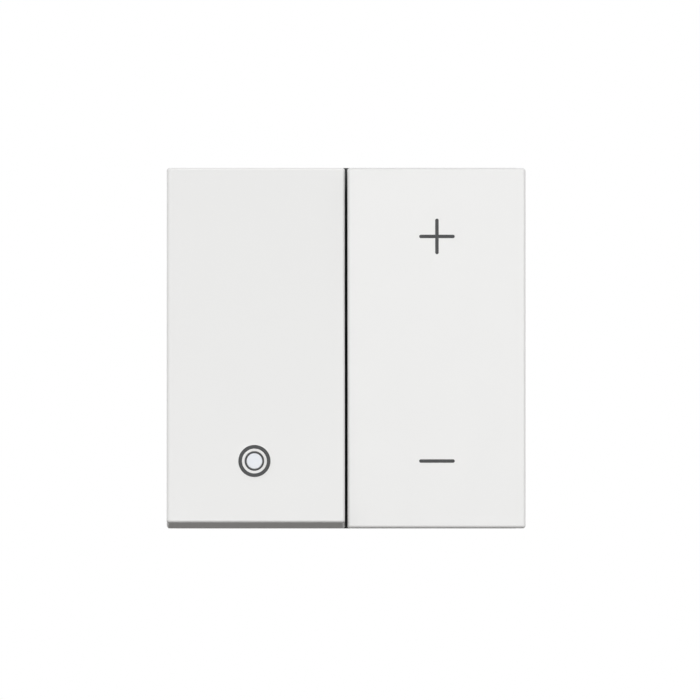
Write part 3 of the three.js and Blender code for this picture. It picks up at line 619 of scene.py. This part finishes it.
def make_plungers():
    """The button of each tactile switch, with a collar at its foot and a dished top."""
    shoulder = BUTTON_TOP - BUTTON_FILLET
    dish = BUTTON_TOP - DISH_DEPTH
    profile = [(AXIS, BUTTON_FOOT), *collar(BUTTON_COLLAR, BUTTON_FOOT, -0.5)]
    profile += [(BUTTON_RADIUS, -0.46), (BUTTON_RADIUS, shoulder)]
    profile += [(BUTTON_RADIUS - BUTTON_FILLET * back, shoulder + BUTTON_FILLET * up) for back, up in arc(5)]
    profile += [(BUTTON_DISH, BUTTON_TOP), (BUTTON_DISH - DISH_DEPTH, dish), (AXIS, dish)]
    places = {
        "on_off": (-KEY_PITCH + SWITCH_X, -LEVER),
        "brighter": (KEY_PITCH, LEVER),
        "darker": (KEY_PITCH, -LEVER),
    }
    for switch, centre in places.items():
        name = f"{switch}_plunger_fine"
        node = f"{switch}_switch_plunger"
        make_turned(name, profile, centre, DEVICE, "component_black", f"{switch}_plunger", node)


# ---------------------------------------------------------------- return spring
SPRING_RADIUS = 1.8
SPRING_WIRE = 0.21  # radius of the wire
SPRING_FOOT = DECK + 0.25  # middle of the wire at its two ends
SPRING_HEAD = 8.38
SPRING_TURNS = 7


def make_return_spring():
    """A compression spring with a closed turn at each end."""
    steps = 32
    closed = 2 * SPRING_WIRE * 1.03
    climb = SPRING_HEAD - SPRING_FOOT - 2 * closed
    path = []
    for step in range(SPRING_TURNS * steps + 1):
        turn = step / steps
        lift = closed * min(turn, 1) + closed * max(0, turn - (SPRING_TURNS - 1))
        lift += climb * min(max((turn - 1) / (SPRING_TURNS - 2), 0), 1)
        angle = 2 * math.pi * turn
        across = (SPRING_RADIUS * math.cos(angle), SPRING_RADIUS * math.sin(angle))
        path.append((*across, SPRING_FOOT + lift))
    verts, faces = tube(path, SPRING_WIRE)
    place = DEVICE @ Matrix.Translation((-KEY_PITCH + SPRING_X, -LEVER, 0))
    spring = make_object("return_spring_coil", verts, faces, place)
    smooth(spring, 60)
    finish_piece(spring, "steel", "chassis")
    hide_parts("on_off_return_spring")
    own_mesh(spring)


# ---------------------------------------------------------------- terminal screws
HEAD_UNDER = -27.2
HEAD_TOP = -29.1
HEAD_RADIUS = 2.9
HEAD_FILLET = 0.3
THREAD_CREST = 1.7
THREAD_ROOT = 1.45
THREAD_PITCH = 0.6
SHANK_TIP = -21.7
SLOT_HALF = 0.42  # half the width of the slot and the cross
SLOT_DEPTH = 1.0
CROSS_DEPTH = 1.2
CROSS_REACH = 1.9
CLEAR_OF_HEAD = -30.0  # where the tools that cut the head end, outside it


def threaded_shank(crest, root, pitch, low, high, count=40, per_turn=10):
    """A shank whose surface winds round it as a thread and fades out at the tip."""
    loops = []
    steps = round((high - low) / pitch * per_turn)
    for step in range(steps + 1):
        z = low + (high - low) * step / steps
        fade = min(1.0, (high - z) / pitch)
        loop = []
        for i in range(count):
            phase = (z / pitch - i / count) % 1
            height = 1 - abs(2 * phase - 1)
            radius = root + (crest - root) * min(1.0, 1.3 * height) * (0.3 + 0.7 * fade)
            angle = 2 * math.pi * i / count
            loop.append((radius * math.cos(angle), radius * math.sin(angle), z))
        loops.append(loop)
    return skin(loops)


def screw_mesh():
    """A cheese-head terminal screw with a combined slot and cross recess, standing on its own axis."""
    shoulder = HEAD_TOP + HEAD_FILLET
    profile = [(AXIS, HEAD_UNDER), (HEAD_RADIUS - 0.15, HEAD_UNDER)]
    profile += [(HEAD_RADIUS, HEAD_UNDER - 0.15), (HEAD_RADIUS, shoulder)]
    profile += [(HEAD_RADIUS - HEAD_FILLET * back, shoulder - HEAD_FILLET * up) for back, up in arc(5)]
    profile += [(1.4, HEAD_TOP - 0.04), (AXIS, HEAD_TOP - 0.05)]
    screw = make_object("screw", *turned(profile), DEVICE)
    thread = threaded_shank(THREAD_CREST, THREAD_ROOT, THREAD_PITCH, HEAD_UNDER - 0.2, SHANK_TIP)
    slot = box((-3.2, 3.2), (-SLOT_HALF, SLOT_HALF), (CLEAR_OF_HEAD, HEAD_TOP + SLOT_DEPTH))
    cross = box((-SLOT_HALF, SLOT_HALF), (-CROSS_REACH, CROSS_REACH), (CLEAR_OF_HEAD, HEAD_TOP + CROSS_DEPTH))
    boolean(screw, make_object("shank", *thread, DEVICE), "UNION")
    boolean(screw, make_object("slot", *slot, DEVICE), "DIFFERENCE")
    boolean(screw, make_object("cross", *cross, DEVICE), "DIFFERENCE")
    smooth(screw, 30)
    return screw


def make_terminal_screws():
    """One screw, copied to each terminal."""
    pattern = screw_mesh()
    for number, x in enumerate(TERMINALS, 1):
        screw = pattern.copy()
        screw.name = f"terminal_screw_fine_{number}"
        screw.location = DEVICE @ Vector((x, SCREW_Y, 0))
        bpy.context.scene.collection.objects.link(screw)
        finish_piece(screw, "steel", f"terminal_screw_{number}")
        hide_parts(f"terminal_screw_{number}")
    bpy.data.objects.remove(pattern)


# ---------------------------------------------------------------- terminal numbers
def make_terminal_numbers():
    """A small number printed on the rear housing over each terminal screw."""
    for number, x in enumerate(TERMINALS, 1):
        figure = bpy.data.curves.new("figure", "FONT")
        figure.body = str(number)
        figure.size = NUMBER_SIZE
        figure.extrude = INK_THICK
        figure.offset = NUMBER_WEIGHT
        figure.align_x = "CENTER"
        holder = bpy.data.objects.new("figure", figure)
        bpy.context.scene.collection.objects.link(holder)
        depsgraph = bpy.context.evaluated_depsgraph_get()
        mesh = bpy.data.meshes.new_from_object(holder.evaluated_get(depsgraph))
        bpy.data.objects.remove(holder)
        mesh.transform(DEVICE @ Matrix.Translation((x, NUMBER_Y, BACK)) @ Matrix.Rotation(math.pi, 4, "Y"))
        piece = bpy.data.objects.new(f"terminal_number_{number}", mesh)
        bpy.context.scene.collection.objects.link(piece)
        finish_ink(piece, PALE_INK, "chassis")


# ---------------------------------------------------------------- choke
CHOKE_X = -9.6
CHOKE_Y = 2.8
CORE_INNER = 3.6
CORE_OUTER = 6.6
CORE_BACK = -18.4
CORE_FRONT = -13.0
CHOKE_WIRE = 0.42  # radius of the wire
CHOKE_TURNS = 16
WINDING_START = 112  # degrees round the core
WINDING_SPAN = 316
BOARD_UNDER_CHOKE = -11.25
TURN_ROUNDING = 0.35  # under 1, so that the turns hug the core's square section


def make_choke_winding():
    """Turns of enamelled wire round the ring core, with both ends led to the power board."""
    steps = 28
    clear = 0.12 + CHOKE_WIRE
    middle = (CORE_INNER + CORE_OUTER) / 2
    half_across = (CORE_OUTER - CORE_INNER) / 2 + clear
    half_along = (CORE_FRONT - CORE_BACK) / 2 + clear
    level = (CORE_FRONT + CORE_BACK) / 2
    path = []
    for step in range(CHOKE_TURNS * steps + 1):
        share = step / (CHOKE_TURNS * steps)
        around = math.radians(WINDING_START + WINDING_SPAN * share)
        section = 2 * math.pi * CHOKE_TURNS * share - math.pi / 2
        reach = math.cos(section)
        rise = -math.sin(section)
        radial = middle + half_across * math.copysign(abs(reach) ** TURN_ROUNDING, reach)
        z = level + half_along * math.copysign(abs(rise) ** TURN_ROUNDING, rise)
        path.append((radial * math.cos(around), radial * math.sin(around), z))
    first, last = Vector(path[0]), Vector(path[-1])
    board = BOARD_UNDER_CHOKE
    start = [(first.x, first.y, board), (first.x, first.y, (board + first.z) / 2)]
    stop = [(last.x, last.y, (board + last.z) / 2), (last.x, last.y, board)]
    verts, faces = tube([*start, *path, *stop], CHOKE_WIRE, 10)
    place = DEVICE @ Matrix.Translation((CHOKE_X, CHOKE_Y, 0))
    winding = make_object("choke_winding_turns", verts, faces, place)
    smooth(winding, 60)
    finish_piece(winding, "copper", "chassis")
    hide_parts("choke_winding")


# ---------------------------------------------------------------- carried-over CAD nodes
EDGE_BREAKS = {
    "front_housing": 0.12,
    "rear_housing": 0.15,
    "on_off_rocker": 0.1,
    "dimming_rocker": 0.1,
    "heat_sink": 0.12,
    "control_board": 0.06,
    "power_board": 0.06,
}
SMALL_EDGE_BREAK = 0.05


def break_edges(node, width):
    """Modifiers that merge the facets of flat faces and round the edges between them."""
    weld = node.modifiers.new("weld", "WELD")
    weld.merge_threshold = 1e-6
    flat = node.modifiers.new("flat", "DECIMATE")
    flat.decimate_type = "DISSOLVE"
    flat.angle_limit = math.radians(1)
    edge = node.modifiers.new("edge", "BEVEL")
    edge.width = width / 1000
    edge.segments = 2
    edge.limit_method = "ANGLE"
    edge.angle_limit = math.radians(40)
    edge.use_clamp_overlap = True
    weighted = node.modifiers.new("weighted", "WEIGHTED_NORMAL")
    weighted.keep_sharp = True


def finish_cad_nodes():
    """Every CAD node gets its slot's material and rounded edges."""
    slots = {part["node"]: part["material_slot"] for part in frame["record"]["subparts"]}
    for name, node in frame["nodes"].items():
        node.data.materials.clear()
        node.data.materials.append(MATERIALS[slots[name]])
        node.data.shade_smooth()
        break_edges(node, EDGE_BREAKS.get(name, SMALL_EDGE_BREAK))


# ---------------------------------------------------------------- studio
CAMERA_DISTANCE = 3.0  # metres, as is all of the studio
VIEW_WIDTH = 0.0872  # what the picture takes in across, at the keys' faces
VIEW_CENTRE = (0.00048, -0.0116, -0.00022)
FLOOR_RADIUS = 1.6
FLOOR_HEIGHT = -0.12
# Brightness of the surroundings by height, from -1 straight down to 1 straight up.
SURROUNDINGS = {
    -0.22: (0.15, 0.145, 0.14),
    -0.1: (1.0, 1.0, 1.0),
    0.08: (1.0, 1.0, 1.0),
    0.3: (0.78, 0.78, 0.78),
    0.8: (0.66, 0.66, 0.66),
}


def make_world():
    """White at eye level, greyer overhead and dim from below, which shades the faces that look down."""
    world = bpy.data.worlds.new("studio")
    bpy.context.scene.world = world
    world.use_nodes = True
    tree = world.node_tree
    place = tree.nodes.new("ShaderNodeTexCoord")
    parts = tree.nodes.new("ShaderNodeSeparateXYZ")
    tree.links.new(place.outputs["Generated"], parts.inputs["Vector"])
    ramp = tree.nodes.new("ShaderNodeValToRGB")
    tree.links.new(between(tree, parts.outputs["Z"], 0, 1, -1, 1), ramp.inputs["Fac"])
    ramp.color_ramp.elements.remove(ramp.color_ramp.elements[1])
    for height, colour in SURROUNDINGS.items():
        ramp.color_ramp.elements.new((height + 1) / 2).color = (*colour, 1)
    ramp.color_ramp.elements[0].color = (*SURROUNDINGS[min(SURROUNDINGS)], 1)
    tree.links.new(ramp.outputs["Color"], tree.nodes["Background"].inputs["Color"])


def make_floor():
    """A pale disc well below the device, which hangs in the air as it does in its wall."""
    count = 96
    turns = [2 * math.pi * i / count for i in range(count)]
    rim = [(FLOOR_RADIUS * math.cos(t), FLOOR_RADIUS * math.sin(t), 0) for t in turns]
    mesh = bpy.data.meshes.new("floor")
    mesh.from_pydata(rim, [], [tuple(range(count))])
    floor = bpy.data.objects.new("floor", mesh)
    floor.location = (0, 0, FLOOR_HEIGHT)
    bpy.context.scene.collection.objects.link(floor)
    material, shader, place = start_material("floor")
    tree = material.node_tree
    tone = mixed(tree, noise(tree, place, 300.0), (0.93, 0.93, 0.93), (0.95, 0.95, 0.95))
    tree.links.new(tone, shader.inputs["Base Color"])
    shader.inputs["Roughness"].default_value = 0.9
    mesh.materials.append(material)
    floor.visible_diffuse = False
    floor.visible_glossy = False


def make_light(name, position, size, power):
    """A round soft light, in watts, that looks at the device."""
    lamp = bpy.data.lights.new(name, "AREA")
    lamp.shape = "DISK"
    lamp.size = size
    lamp.energy = power
    light = bpy.data.objects.new(name, lamp)
    light.location = position
    light.rotation_mode = "QUATERNION"
    light.rotation_quaternion = (-Vector(position)).to_track_quat("-Z", "Y")
    light.visible_camera = False
    bpy.context.scene.collection.objects.link(light)


def make_camera():
    """A long lens square to the face, a little right of and below the middle, as the framing asks."""
    camera = bpy.data.cameras.new("camera")
    camera.sensor_width = 36.0
    camera.lens = camera.sensor_width * CAMERA_DISTANCE / VIEW_WIDTH
    camera.clip_start = 0.1
    camera.clip_end = 100.0
    holder = bpy.data.objects.new("camera", camera)
    holder.location = Vector(VIEW_CENTRE) - Vector((0, CAMERA_DISTANCE, 0))
    holder.rotation_euler = (math.radians(90), 0, 0)
    bpy.context.scene.collection.objects.link(holder)
    bpy.context.scene.camera = holder


def make_studio():
    bpy.context.scene.view_settings.view_transform = "Standard"
    make_world()
    make_floor()
    make_light("front", (0.2, -2.6, -0.3), 1.6, 32.0)
    make_light("overhead", (0.0, -2.1, 1.5), 0.6, 10.5)
    make_camera()


finish_cad_nodes()
make_keys()
make_marks()
make_lens_and_guide()
# A dark sleeve that paints shade in the gap round the lens.
make_lens_seal()
make_plungers()
make_return_spring()
make_terminal_screws()
make_terminal_numbers()
make_choke_winding()
make_studio()
